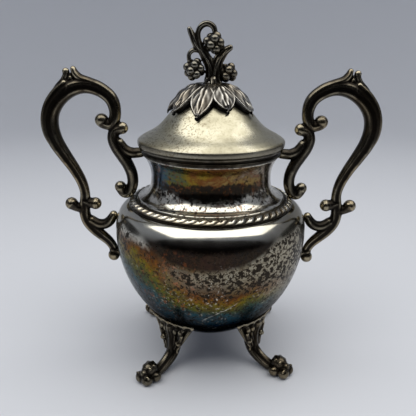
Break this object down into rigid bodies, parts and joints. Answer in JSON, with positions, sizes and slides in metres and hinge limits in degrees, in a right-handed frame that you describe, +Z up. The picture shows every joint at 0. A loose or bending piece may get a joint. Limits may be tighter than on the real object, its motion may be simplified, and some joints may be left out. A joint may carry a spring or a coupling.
{
  "type": "covered sugar bowl",
  "caption": "Covered footed sugar bowl of aged silver plate with scroll handles, a gadroon band, and a lift-off domed lid with a leaf cup and grape-vine finial.",
  "frame": {"origin": "on the bowl's axis at the floor, under the centre of its feet", "axes": "+Z up along the bowl's axis; the handles lie in the XZ plane; the front is -Y"},
  "size_m": [0.189, 0.11, 0.1927],
  "materials": {
    "belly_silver": "polished silver plate under amber, brown and blue tarnish with black pitting",
    "neck_silver": "polished silver plate under teal and amber tarnish",
    "rim_silver": "darkened moulding with a bright worn edge",
    "band_silver": "bright lobes with black recesses",
    "cast_silver": "brown-black oxidised casting with worn golden highlights",
    "lid_silver": "warm polished silver plate with fine specks",
    "leaf_silver": "oxidised casting with worn bright veins",
    "finial_silver": "blackened casting with pale highlights",
    "brass_fixing": "dull plated brass"
  },
  "bodies": {
    "bowl": {"bowl_shell": "belly_silver", "neck_collar": "neck_silver", "mouth_rim": "rim_silver", "gadroon_band": "band_silver", "foot_front_left": "cast_silver", "foot_front_right": "cast_silver", "foot_rear_right": "cast_silver", "foot_rear_left": "cast_silver", "handle_left": "cast_silver", "handle_right": "cast_silver"},
    "lid": {"lid_shell": "lid_silver", "lid_bezel": "lid_silver", "leaf_cup": "leaf_silver", "finial": "finial_silver", "finial_stud": "brass_fixing", "finial_washer": "brass_fixing", "finial_nut": "brass_fixing"}
  },
  "joints": [
    {"name": "lid_lift", "type": "slide", "parent": "bowl", "child": "lid", "axis": [0, 0, 1], "range_m": [0, 0.09]}
  ]
}
